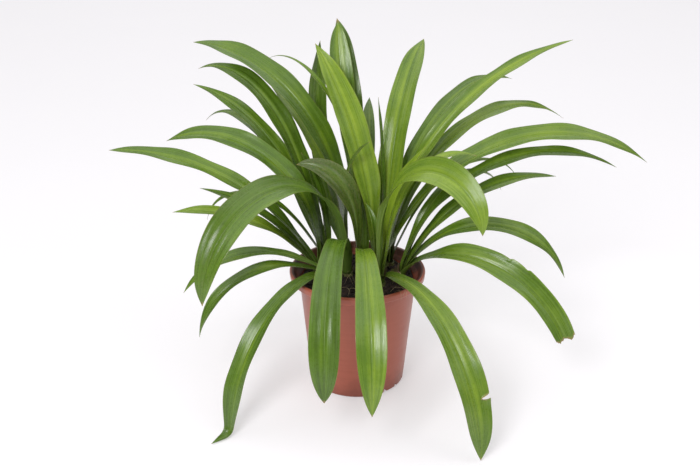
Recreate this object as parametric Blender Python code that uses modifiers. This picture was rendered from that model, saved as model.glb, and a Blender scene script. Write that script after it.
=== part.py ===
"""Potted spider lily in a terracotta-coloured nursery pot.

Metres, +Z up, the pot's foot on z = 0 round the Z axis, the front of the plant towards -Y.
Every leaf, bulb, the soil and the pot is one solid. Touching pieces are kept 0.3 mm apart.
"""

import math

import bmesh
import bpy
import numpy as np
from mathutils import Vector, noise

GAP = 0.0003

# Pot
POT_HEIGHT = 0.152
RIM_OUTER = 0.085
RIM_INNER = 0.0795
RIM_BAND = 0.010
WALL_TOP = 0.0728
WALL_FOOT = 0.0595
WALL = 0.0020
POT_SIDES = 48
FLOOR = 0.0060
FOOT_RING = 0.0045
FOOT_RISE = 0.0035
CENTRE_PAD = 0.0220
DRAIN_ARC = 40.0
DRAIN_CENTRES = (325.0, 205.0, 85.0)
DRAIN_RISE = 0.0022
SLOT_WIDTH = 0.0040
SLOT_HEIGHT = 0.0055
DRAIN_HOLE = 0.0040
DRAIN_HOLE_RING = 0.0400

# Soil
SOIL_TOP = 0.1395
SOIL_LUMP = 0.0016
SOIL_SEED = 7
SOIL_SIDES = 32

# Bulbs
NECK_TOP = 0.1425
NECK_WALL = 0.0010
BULB_SWELL = 0.0025
BULB_DEPTH = 0.0520
BULB_SIDES = 12
CORE_RADIUS = 0.0022
CORE_TOP = 0.0200

# Leaves
LEAF_THICK = 0.0009
LEAF_STEP = 0.00128
BASE_HEIGHT = NECK_TOP + 0.00055
STATIONS = 13
ACROSS = (-1.0, -0.52, 0.0, 0.52, 1.0)
CHANNEL = 0.24
FOLD = 0.20
FOLD_ROUND = 0.0020
SWELL = 0.42
TIP_START = 0.62
TIP_POWER = 2.2
SHEATH_LENGTH = 0.055
WAVE_HEIGHT = 0.0012
WAVE_LENGTH = 0.075

# Where each bulb stands, in millimetres from the pot's axis
SHOOTS = {
    "left": (-47, 13),
    "left_back": (-36, 35),
    "left_front": (-33, -14),
    "middle_left": (-13, 7),
    "front": (3, -14),
    "right_front": (26, -20),
    "right": (51, -4),
    "middle_right": (28, 9),
    "right_back": (36, 37),
    "back": (8, 34),
    "back_left": (-14, 51),
}

# One row for each leaf: bulb, its place outwards among the bulb's leaves, heading (0 is +X, 90 is +Y),
# upright length at the neck, lean where it leaves the neck, lean at the tip, how late it bends,
# length, width, sideways sweep, roll towards one edge, then what only this leaf has.
# Lengths are in millimetres and angles in degrees.
LEAVES = {
    "leaf_01": ("left", 2, 178, 15, 28, 92, 1.00, 316, 27, 0, -18, {"blunt": 2.8}),
    "leaf_02": ("left", 1, 160, 25, -2, 117, 0.95, 312, 31, 0, -24, {"blunt": 2.8}),
    "leaf_03": ("back_left", 1, 152, 25, -1, 95, 1.15, 388, 35, 0, -20, {"blunt": 3.0}),
    "leaf_04": ("back_left", 2, 143, 20, 2, 64, 1.10, 252, 32, 0, -10, {}),
    "leaf_05": ("left_back", 2, 148, 25, 17, 116, 2.60, 340, 31, 0, -12, {"blunt": 2.8}),
    "leaf_06": ("left_back", 3, 155, 25, 20, 82, 1.60, 300, 24, 0, -18, {}),
    "leaf_07": ("left_back", 4, 143, 25, 31, 140, 3.00, 292, 20, 0, -10, {}),
    "leaf_08": ("middle_right", 4, 156, 30, 12, 120, 3.20, 342, 8, -20, 0, {}),
    "leaf_09": ("back_left", 3, 121, 25, 40, -18, 1.00, 290, 28, 0, 0, {}),
    "leaf_10": ("middle_right", 3, 150, 30, 5, 36, 1.30, 298, 35, 0, -35, {"blunt": 2.8}),
    "leaf_11": ("back", 1, 150, 30, 5, 28, 1.50, 308, 28, -60, 0, {"blunt": 6.0}),
    "leaf_12": ("back", 2, 110, 35, 9, 44, 2.40, 315, 25, 0, 0, {"blunt": 5.0}),
    "leaf_13": ("back", 3, 86, 20, 12, 75, 1.80, 230, 22, 0, 0, {}),
    "leaf_14": ("right_back", 2, 70, 30, 0, 74, 1.25, 320, 32, 0, 0, {"blunt": 3.4}),
    "leaf_15": ("right_back", 3, 21, 25, 5, 81, 0.88, 396, 23, 0, 15, {}),
    "leaf_16": ("right_back", 4, 50, 20, 6, 112, 0.98, 388, 23, 0, 15, {}),
    "leaf_17": ("right_back", 5, 36, 20, 12, 126, 1.00, 400, 21, 0, 20, {}),
    "leaf_18": ("middle_right", 2, 6, 20, 19, 128, 1.10, 425, 31, 0, 22, {}),
    "leaf_19": ("right", 1, 10, 15, 14, 121, 1.00, 355, 20, 0, 22, {}),
    "leaf_20": ("right", 3, 15, 12, 27, 102, 1.10, 250, 20, 0, 20, {}),
    "leaf_21": ("right", 2, 36, 10, 21, 158, 1.80, 240, 14, 0, 10, {}),
    "leaf_22": ("right_front", 3, 6, 20, 8, 114, 2.40, 226, 17, 0, 10, {}),
    "leaf_23": ("right_back", 6, 15, 20, 26, 158, 2.20, 248, 8, 0, 10, {}),
    "leaf_24": ("right_front", 1, -43, 25, -4, 178, 1.60, 308, 37, 0, 40, {"blunt": 3.4, "swell": 0.75}),
    "leaf_25": ("right", 4, 0, 10, 27, 160, 1.00, 262, 24, 0, 30, {}),
    "leaf_26": ("right", 5, -24, 10, 30, 156, 0.70, 262, 32, 0, 40, {"torn": True}),
    "leaf_27": ("right_front", 4, -57, 16, 61, 178, 0.75, 307, 37, 0, 10, {"nick": 0.76, "blunt": 3.6, "swell": 0.70}),
    "leaf_28": ("middle_left", 2, 225, 25, 0, 180, 1.05, 378, 39, 0, -30, {"blunt": 3.2, "swell": 0.70}),
    "leaf_29": ("left", 4, 185, 10, 36, 97, 1.05, 205, 20, 0, -20, {}),
    "leaf_30": ("middle_right", 1, 18, 15, 4, 40, 1.20, 172, 26, 0, 0, {"blunt": 2.8}),
    "leaf_31": ("left_front", 2, 192, 16, 52, 146, 1.20, 209, 19, 0, -15, {}),
    "leaf_32": ("left_front", 3, 203, 16, 60, 171, 1.20, 215, 19, 0, -15, {}),
    "leaf_33": ("left_front", 4, 227, 17, 68, 184, 0.66, 292, 26, 0, -10, {"kink": (0.91, -90, 0.08), "blunt": 2.6, "swell": 0.60}),
    "leaf_34": ("middle_left", 3, 259, 20, 0, 180, 0.62, 322, 36, 12, 0, {"blunt": 5.0, "swell": 0.80}),
    "leaf_35": ("front", 2, 274, 20, 4, 178, 0.62, 320, 36, -2, 0, {"blunt": 3.4, "swell": 0.80}),
    "leaf_36": ("front", 1, 170, 25, 0, 104, 2.20, 190, 34, 0, -30, {"blunt": 3.0, "swell": 0.70}),
    "leaf_37": ("left_back", 1, 150, 20, 0, 36, 1.20, 150, 18, 0, 0, {}),
    "leaf_38": ("middle_left", 1, -27, 25, -5, 58, 3.00, 188, 11, 0, 45, {}),
    "leaf_39": ("right_back", 1, 150, 25, 0, 6, 1.20, 218, 9, 0, 0, {}),
    "leaf_40": ("right_front", 2, 124, 25, 0, 68, 2.50, 104, 9, 0, 0, {}),
    "leaf_41": ("left", 3, 170, 12, 34, 82, 1.00, 186, 16, 0, -15, {}),
    "leaf_42": ("left_back", 5, 174, 20, 33, 172, 2.00, 212, 11, 0, -10, {}),
}


def clear_scene():
    for obj in list(bpy.data.objects):
        bpy.data.objects.remove(obj, do_unlink=True)


def new_collection(name, hidden=False):
    made = bpy.data.collections.new(name)
    made.hide_render = hidden
    bpy.context.scene.collection.children.link(made)
    return made


def new_material(name, colour, roughness):
    made = bpy.data.materials.new(name)
    made.use_nodes = True
    shader = made.node_tree.nodes["Principled BSDF"]
    shader.inputs["Base Color"].default_value = (*colour, 1.0)
    shader.inputs["Roughness"].default_value = roughness
    return made


def new_object(name, mesh, collection, material=None):
    made = bpy.data.objects.new(name, mesh)
    collection.objects.link(made)
    if material:
        mesh.materials.append(material)
    return made


def realise(obj):
    """Turns the object's modifiers into its mesh, with normals facing out."""
    graph = bpy.context.evaluated_depsgraph_get()
    mesh = bpy.data.meshes.new_from_object(obj.evaluated_get(graph))
    obj.modifiers.clear()
    old, obj.data = obj.data, mesh
    bpy.data.meshes.remove(old)
    work = bmesh.new()
    work.from_mesh(mesh)
    bmesh.ops.recalc_face_normals(work, faces=work.faces)
    work.to_mesh(mesh)
    work.free()


def turned(name, profile, steps, collection, material=None):
    """A solid of revolution from an open profile of (radius, height) whose ends lie on the axis."""
    mesh = bpy.data.meshes.new(name)
    points = [(r, 0.0, z) for r, z in profile]
    mesh.from_pydata(points, [(i, i + 1) for i in range(len(points) - 1)], [])
    obj = new_object(name, mesh, collection, material)
    screw = obj.modifiers.new("Turn", "SCREW")
    screw.axis = "Z"
    screw.angle = math.tau
    screw.steps = steps
    screw.render_steps = steps
    screw.use_merge_vertices = True
    screw.merge_threshold = 0.00001
    realise(obj)
    return obj


def box(name, size, centre, turn, collection):
    """A box turned about Z round the pot's axis."""
    mesh = bpy.data.meshes.new(name)
    work = bmesh.new()
    bmesh.ops.create_cube(work, size=1.0)
    bmesh.ops.scale(work, vec=size, verts=work.verts)
    bmesh.ops.translate(work, vec=centre, verts=work.verts)
    work.to_mesh(mesh)
    work.free()
    obj = new_object(name, mesh, collection)
    obj.rotation_euler.z = math.radians(turn)
    return obj


def cut_all(obj, cutters, name):
    made = obj.modifiers.new(name, "BOOLEAN")
    made.operation = "DIFFERENCE"
    made.solver = "EXACT"
    made.operand_type = "COLLECTION"
    made.collection = cutters


def smooth(obj, angle):
    for face in obj.data.polygons:
        face.use_smooth = True
    obj.data.set_sharp_from_angle(angle=math.radians(angle))


def pot_profile():
    """Up the outside from the centre of the underside, over the rim and down the inside."""
    slope = (WALL_TOP - WALL_FOOT) / (POT_HEIGHT - RIM_BAND)
    band_foot = POT_HEIGHT - RIM_BAND
    return [
        (0.0, 0.0),
        (CENTRE_PAD, 0.0),
        (CENTRE_PAD + 0.0015, FOOT_RISE),
        (WALL_FOOT - FOOT_RING - 0.0015, FOOT_RISE),
        (WALL_FOOT - FOOT_RING, 0.0),
        (WALL_FOOT - 0.0012, 0.0),
        (WALL_FOOT, 0.0012),
        (WALL_FOOT + slope * 0.070, 0.070),
        (WALL_TOP, band_foot - 0.002),
        (WALL_TOP + 0.0012, band_foot + 0.0004),
        (RIM_OUTER - 0.0022, band_foot),
        (RIM_OUTER - 0.0008, band_foot + 0.0012),
        (RIM_OUTER, POT_HEIGHT - 0.0022),
        (RIM_OUTER - 0.0009, POT_HEIGHT - 0.0004),
        (RIM_OUTER - 0.0026, POT_HEIGHT),
        (RIM_INNER + 0.0012, POT_HEIGHT - 0.0003),
        (RIM_INNER, POT_HEIGHT - 0.0014),
        (WALL_TOP + 0.0030, band_foot + 0.0032),
        (WALL_TOP - WALL, band_foot - 0.002),
        (WALL_FOOT - WALL + slope * 0.070, 0.070),
        (WALL_FOOT - WALL + slope * FLOOR, FLOOR + 0.0015),
        (WALL_FOOT - WALL - 0.0015, FLOOR),
        (0.0, FLOOR),
    ]


def build_pot(parts, cutters, material):
    pot = turned("pot", pot_profile(), POT_SIDES, parts, material)
    drains = bpy.data.collections.new("pot_cutters")
    cutters.children.link(drains)
    for number, centre in enumerate(DRAIN_CENTRES):
        build_drain(f"drain_{number}", centre, drains)
        for side in (-1, 0, 1):
            turn = centre + side * (DRAIN_ARC / 2 - 1.0)
            size = (0.0100, SLOT_WIDTH, SLOT_HEIGHT * 2)
            slot = box(f"slot_{number}_{side + 1}", size, (WALL_FOOT, 0.0, 0.0), turn, drains)
            slot.display_type = "WIRE"
        hole = turned(f"hole_{number}", hole_profile(), 10, drains)
        angle = math.radians(centre + 60.0)
        hole.location = (DRAIN_HOLE_RING * math.cos(angle), DRAIN_HOLE_RING * math.sin(angle), 0.0)
        hole.display_type = "WIRE"
    cut_all(pot, drains, "Drainage")
    smooth(pot, 35)
    return pot


def hole_profile():
    return [(0.0, -0.002), (DRAIN_HOLE, -0.002), (DRAIN_HOLE, FLOOR + 0.002), (0.0, FLOOR + 0.002)]


def build_drain(name, centre, collection):
    """A shallow arc cut out of the foot ring."""
    half = math.radians(DRAIN_ARC / 2)
    turns = np.linspace(-half, half, 7) + math.radians(centre)
    inner, outer = WALL_FOOT - FOOT_RING - 0.0030, WALL_FOOT + 0.0050
    ring = [(inner * math.cos(a), inner * math.sin(a)) for a in turns]
    ring += [(outer * math.cos(a), outer * math.sin(a)) for a in turns[::-1]]
    mesh = bpy.data.meshes.new(name)
    work = bmesh.new()
    foot = [work.verts.new((x, y, -0.004)) for x, y in ring]
    face = work.faces.new(foot)
    grown = bmesh.ops.extrude_face_region(work, geom=[face])
    tops = [item for item in grown["geom"] if isinstance(item, bmesh.types.BMVert)]
    bmesh.ops.translate(work, vec=(0.0, 0.0, 0.004 + DRAIN_RISE), verts=tops)
    bmesh.ops.recalc_face_normals(work, faces=work.faces)
    work.to_mesh(mesh)
    work.free()
    obj = new_object(name, mesh, collection)
    obj.display_type = "WIRE"
    return obj


def base_radius(place):
    """Distance of a leaf's base from the bulb's axis: one layer of leaf and gap for each place outwards."""
    return CORE_RADIUS + place * LEAF_STEP


def neck_radius(shoot):
    outermost = max(row[1] for row in LEAVES.values() if row[0] == shoot)
    return base_radius(outermost) + LEAF_THICK / 2 + NECK_WALL


def bulb_profile(shoot, grow):
    """The bulb under the soil, its neck, and the young core that stands inside the leaf bases."""
    neck = neck_radius(shoot)
    swell = neck + BULB_SWELL
    profile = [
        (0.0, NECK_TOP - BULB_DEPTH - grow),
        (swell * 0.45 + grow, NECK_TOP - BULB_DEPTH - grow),
        (swell + grow, NECK_TOP - BULB_DEPTH * 0.74),
        (swell * 0.98 + grow, NECK_TOP - BULB_DEPTH * 0.42),
        (neck + 0.0006 + grow, NECK_TOP - BULB_DEPTH * 0.16),
    ]
    if grow:
        return profile + [(neck + grow, SOIL_TOP), (neck + grow, SOIL_TOP + 0.02), (0.0, SOIL_TOP + 0.02)]
    return profile + [
        (neck, NECK_TOP - 0.0012),
        (neck - 0.0010, NECK_TOP),
        (CORE_RADIUS, NECK_TOP),
        (0.0, NECK_TOP + CORE_TOP),
    ]


def build_bulbs(parts, cutters, material):
    holes = bpy.data.collections.new("soil_cutters")
    cutters.children.link(holes)
    for shoot, (x, y) in SHOOTS.items():
        bulb = turned(f"bulb_{shoot}", bulb_profile(shoot, 0.0), BULB_SIDES, parts, material)
        bulb.location = (x / 1000, y / 1000, 0.0)
        smooth(bulb, 50)
        hole = turned(f"hole_for_{shoot}", bulb_profile(shoot, GAP), BULB_SIDES, holes)
        hole.location = bulb.location
        hole.display_type = "WIRE"
    return holes


def soil_profile():
    """The soil fills the pot's inside, 0.3 mm short of it all round."""
    slope = (WALL_TOP - WALL_FOOT) / (POT_HEIGHT - RIM_BAND)
    side = WALL_FOOT - WALL - GAP
    return [
        (0.0, FLOOR + GAP),
        (side - 0.0018, FLOOR + GAP),
        (side + slope * FLOOR - 0.0002, FLOOR + 0.0018),
        (side + slope * 0.070, 0.070),
        (side + slope * 0.134, 0.134),
        (side + slope * 0.134 - 0.004, SOIL_TOP - 0.0010),
        (0.050, SOIL_TOP),
        (0.034, SOIL_TOP),
        (0.017, SOIL_TOP),
        (0.0, SOIL_TOP),
    ]


def build_soil(parts, holes, material):
    soil = turned("soil", soil_profile(), SOIL_SIDES, parts, material)
    for vert in soil.data.vertices:
        flat = Vector((vert.co.x, vert.co.y, 0.0))
        if vert.co.z > SOIL_TOP - 0.0005:
            at = flat * 60.0 + Vector((SOIL_SEED, 0.0, 0.0))
            vert.co.z += SOIL_LUMP * noise.noise(at)
    cut_all(soil, holes, "Bulb holes")
    smooth(soil, 40)
    return soil


def ease(x):
    x = np.clip(x, 0.0, 1.0)
    return x * x * (3.0 - 2.0 * x)


def leaf_stations(more):
    """Evenly spaced stations, a little closer near the tip, with more where the leaf is kinked or nicked."""
    t = np.linspace(0.0, 1.0, STATIONS)
    t = 1.0 - (1.0 - t) ** 1.12
    if "kink" in more:
        at, _, wide = more["kink"]
        t = np.concatenate([t, [at - wide / 2, at, at + wide / 2]])
    if "nick" in more:
        t = np.concatenate([t, more["nick"] + np.array([-0.010, 0.0, 0.010])])
    t = np.sort(t)
    keep = np.concatenate([[True], np.diff(t) > 0.006])
    return t[keep]


def leaf_frame(row, t):
    """Centreline, along, side and upper normal of a leaf at the stations t.

    The lean from upright is eased in over the neck, then grows as a power of the run to the tip.
    Lean and heading together give the direction of the centreline, which is summed along its length.
    """
    shoot, place, heading, rise, lean, droop, power, length, _, sweep, roll, more = row
    fine = np.linspace(0.0, 1.0, 601)
    run = np.clip((fine * length - rise) / (length - rise), 0.0, 1.0)
    tilt = lean * ease(fine * length / rise) + (droop - lean) * run**power
    if "kink" in more:
        at, by, wide = more["kink"]
        tilt = tilt + by * ease((fine - at) / wide + 0.5)
    tilt = np.radians(tilt)
    turn = np.radians(heading + sweep * fine**1.5)
    along = np.stack([np.sin(tilt) * np.cos(turn), np.sin(tilt) * np.sin(turn), np.cos(tilt)], 1)
    moved = np.cumsum(0.5 * (along[1:] + along[:-1]), 0) * length / 600.0 / 1000.0
    start = math.radians(heading)
    radius = base_radius(place)
    x, y = SHOOTS[shoot][0] / 1000, SHOOTS[shoot][1] / 1000
    foot = [x + radius * math.cos(start), y + radius * math.sin(start), BASE_HEIGHT]
    line = np.concatenate([np.zeros((1, 3)), moved]) + foot
    side = np.stack([-np.sin(turn), np.cos(turn), np.zeros_like(turn)], 1)
    up = np.cross(along, side)
    rolled = np.radians(roll) * ease((fine - 0.12) / 0.5)[:, None]
    side, up = side * np.cos(rolled) + up * np.sin(rolled), up * np.cos(rolled) - side * np.sin(rolled)
    pick = [np.stack([np.interp(t, fine, values[:, i]) for i in range(3)], 1) for values in (line, along, side, up)]
    return [pick[0]] + [v / np.linalg.norm(v, axis=1)[:, None] for v in pick[1:]]


def leaf_width(row, t):
    """Narrow where it sheathes the neck, swelling to its full width, drawn to a point or torn off."""
    width, more = row[8], row[11]
    foot = min(0.62 * width, 2500 * base_radius(row[1]))
    full = foot + (width - foot) * ease(t / more.get("swell", SWELL))
    if "torn" in more:
        return full * (1.0 - 0.12 * ease((t - 0.6) / 0.4)) / 1000
    tip = 1.0 - np.clip((t - TIP_START) / (1.0 - TIP_START), 0.0, 1.0) ** more.get("blunt", TIP_POWER)
    return np.maximum(full * tip, 1.2) / 1000


def leaf_points(row, phase):
    """The middle surface of a leaf, one row of points for each station.

    Across the leaf the points lie on an arc: tight round the neck at the base, a shallow channel in the
    blade, folded up on both sides of the midrib. The margins rise and fall in slow waves.
    """
    more = row[11]
    t = leaf_stations(more)
    line, along, side, up = leaf_frame(row, t)
    width = leaf_width(row, t)
    open_at = SHEATH_LENGTH / (row[7] / 1000)
    bend = (1.0 - ease(t / open_at)) / base_radius(row[1]) + ease(t / open_at) * 2 * CHANNEL / (row[8] / 1000)
    s = np.array(ACROSS)[None, :] * width[:, None] / 2
    out = np.sin(s * bend[:, None]) / bend[:, None]
    lift = (1.0 - np.cos(s * bend[:, None])) / bend[:, None]
    blade = ease((t - 0.10) / 0.25)[:, None]
    lift = lift + FOLD * blade * (np.sqrt(s**2 + FOLD_ROUND**2) - FOLD_ROUND)
    reach = t[:, None] * row[7] / 1000 / WAVE_LENGTH
    edge = np.abs(np.array(ACROSS))[None, :] ** 2
    lean_to = np.sign(np.array(ACROSS))[None, :]
    wave = np.sin(math.tau * reach + phase + 1.3 * lean_to)
    lift = lift + WAVE_HEIGHT * edge * wave * blade * np.minimum(1.0, width[:, None] / 0.02)
    points = line[:, None, :] + side[:, None, :] * out[:, :, None] + up[:, None, :] * lift[:, :, None]
    if "torn" in more:
        ragged = np.array([-0.007, -0.001, -0.004, 0.002, -0.003])
        points[-1] += along[-1][None, :] * ragged[:, None]
    if "nick" in more:
        at = int(np.argmin(np.abs(t - more["nick"])))
        points[at, -1] = points[at, -1] * 0.35 + points[at, -2] * 0.65
    return points


def build_leaf(name, row, number, parts, material):
    points = leaf_points(row, number * 2.4)
    rows, across = points.shape[:2]
    index = np.arange(rows * across).reshape(rows, across)
    a, b = index[:-1, :-1], index[:-1, 1:]
    c, d = index[1:, 1:], index[1:, :-1]
    faces = np.concatenate([np.stack([a, b, c], -1).reshape(-1, 3), np.stack([a, c, d], -1).reshape(-1, 3)])
    mesh = bpy.data.meshes.new(name)
    mesh.from_pydata(points.reshape(-1, 3).tolist(), [], faces.tolist())
    obj = new_object(name, mesh, parts, material)
    solid = obj.modifiers.new("Thickness", "SOLIDIFY")
    solid.thickness = LEAF_THICK
    solid.offset = 0.0
    realise(obj)
    smooth(obj, 60)
    return obj


def main():
    clear_scene()
    parts = new_collection("Potted spider lily")
    cutters = new_collection("Cutters", hidden=True)
    terracotta = new_material("Terracotta-coloured plastic", (0.36, 0.11, 0.08), 0.55)
    earth = new_material("Potting soil", (0.03, 0.018, 0.014), 0.95)
    pale = new_material("Bulb and neck", (0.42, 0.45, 0.22), 0.6)
    green = new_material("Leaf", (0.10, 0.26, 0.04), 0.4)
    build_pot(parts, cutters, terracotta)
    holes = build_bulbs(parts, cutters, pale)
    build_soil(parts, holes, earth)
    for number, (name, row) in enumerate(LEAVES.items(), start=1):
        build_leaf(name, row, number, parts, green)


if __name__ == "__main__":
    main()
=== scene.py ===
"""Potted spider lily: fine leaves, bulb necks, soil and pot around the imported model.

Metres, +Z up, the pot's foot on z = 0, the front of the plant towards -Y. Each piece is a surface on a grid,
worked out with numpy in place, so that every finished object sits at the origin.
"""

import math
from collections import namedtuple

import bpy
import numpy as np
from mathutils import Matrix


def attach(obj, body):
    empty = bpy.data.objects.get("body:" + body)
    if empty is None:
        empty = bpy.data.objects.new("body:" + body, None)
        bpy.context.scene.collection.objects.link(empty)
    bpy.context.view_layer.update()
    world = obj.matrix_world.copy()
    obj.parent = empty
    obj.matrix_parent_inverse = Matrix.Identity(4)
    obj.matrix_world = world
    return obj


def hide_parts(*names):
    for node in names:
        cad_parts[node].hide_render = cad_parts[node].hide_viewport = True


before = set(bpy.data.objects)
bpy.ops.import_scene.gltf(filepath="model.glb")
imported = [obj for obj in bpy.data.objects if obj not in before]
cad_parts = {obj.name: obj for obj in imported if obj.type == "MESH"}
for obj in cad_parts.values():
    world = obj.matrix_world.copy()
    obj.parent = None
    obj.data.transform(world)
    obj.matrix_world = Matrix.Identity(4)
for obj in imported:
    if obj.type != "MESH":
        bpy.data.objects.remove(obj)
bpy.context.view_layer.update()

bl_info = {
    "name": "Potted spider lily",
    "version": (1, 0, 0),
    "blender": (4, 5, 0),
    "location": "3D View > Sidebar > Spider lily",
    "description": "Builds a clump of strap-leaved bulbs in a plastic nursery pot",
    "category": "Add Mesh",
}

# Pot, in metres; where its drainage arcs lie, and how softly each notch ends, in degrees
POT_HEIGHT = 0.152
RIM_OUTER = 0.085
RIM_INNER = 0.0795
RIM_BAND = 0.010
BAND_FOOT = POT_HEIGHT - RIM_BAND
WALL_TOP = 0.0728
WALL_FOOT = 0.0595
WALL_SLOPE = (WALL_TOP - WALL_FOOT) / BAND_FOOT
WALL_MIDDLE = 0.070
WALL = 0.0020
WALL_SWAY = 0.00035
WALL_UNEVEN = 0.00018
FLOOR = 0.0060
FOOT_RING = 0.0045
FOOT_RISE = 0.0035
CENTRE_PAD = 0.0220
DRAIN_ARC = 40.0
DRAIN_CENTRES = (325.0, 205.0, 85.0)
DRAIN_RISE = 0.0022
SLOT_WIDTH = 0.0040
SLOT_HEIGHT = 0.0055
NOTCH_EASE = 0.9

# How much the cone that tells the pot's inside from its outside widens for each metre up, and its radius at 0
INSIDE_CONE = (0.95, -0.0617)

# Soil, crumbs and root fibres
SOIL_TOP = 0.1395
SOIL_SIDE = 0.136
SOIL_GAP = 0.0003
SOIL_DIP = 0.0012
LUMPS_PER_METRE = 55
SOIL_ROWS = 80
SOIL_STEPS = 256
CRUMB_SMALLEST = 0.0006
CRUMB_SPREAD = 0.0022
CRUMB_REACH = 0.0675
FIBRE_STEPS = 40

# Bulbs, their necks and the papery collars round them
NECK_TOP = 0.1425
NECK_WALL = 0.0010
BULB_SWELL = 0.0025
BULB_DEPTH = 0.0520
BULB_STEPS = 40
CORE_RADIUS = 0.0022
CORE_TOP = 0.0200
COLLAR = 0.0065
COLLAR_RAGGED = 0.0035
COLLAR_LOWERED = 0.8
OUTER_LEAF_WITHIN = 0.0030
FLUTES = 13
FLUTE_DEPTH = 0.00018
SCALES_UNEVEN = 0.0005

# Leaves: sizes in metres unless the name says otherwise, places and spreads along a leaf as shares of its
# length, and other shares of its width
LEAF_STEP = 0.00128
LEAF_THICK = 0.0009
BASE_HEIGHT = NECK_TOP + 0.00055
SHEATH_LENGTH = 0.055
SWELL = 0.42
TIP_START = 0.62
TIP_POWER = 2.2
CHANNEL = 0.24
FOLD = 0.20
FOLD_ROUND = 0.0008
WAVE_HEIGHT = 0.0012
WAVE_LENGTH = 0.075
UNEVEN_HEIGHT = 0.00035
UNEVEN_LENGTH = 0.016
PLEAT_HEIGHT = 0.00026
PLEAT_PITCH = 0.0088
GROOVE_DEPTH = 0.0005
GROOVE_HALF = 0.0014
KEEL_HEIGHT = 0.00035
KEEL_AT_FOOT = 0.0003
KEEL_HALF = 0.10
KEEL_START = 0.022
SET_OFF_PLACE = 0.060
SET_OFF_SPREAD = 0.045
TORN_STEPS = (0.565, 0.650)
TORN_DEPTH = 0.0026
TORN_REACH = 0.035
TORN_RISE = 0.016
NICK_HALF = 0.007
NICK_DEPTH = 0.30
FLAP_BEYOND = 0.016
FLAP_HALF = 0.006
FLAP_LIFT = 0.0025
FLAP_BACK = 0.004
ROWS_CROWDED = 1.12
CLOSEST_ROWS = 0.0012
COLUMNS_CROWDED = 0.09
PHASE_STEP = 2.4
LINE_STEPS = 600
FOOT_SHARE = 0.62
FOOT_WRAP = 2.5
NARROWEST_MM = 0.5
BROAD_MM = 15
# How far from its foot, in metres, a leaf is darkened by painted shade near the soil
FOOT_SHADE_REACH = 0.11
NICK_DRY = 0.012
TEXTURE_STEP = 1.7

# Where each bulb stands, in millimetres from the pot's axis
SHOOTS = {
    "left": (-47, 13),
    "left_back": (-36, 35),
    "left_front": (-33, -14),
    "middle_left": (-13, 7),
    "front": (3, -14),
    "right_front": (26, -20),
    "right": (51, -4),
    "middle_right": (28, 9),
    "right_back": (36, 37),
    "back": (8, 34),
    "back_left": (-14, 51),
}

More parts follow.
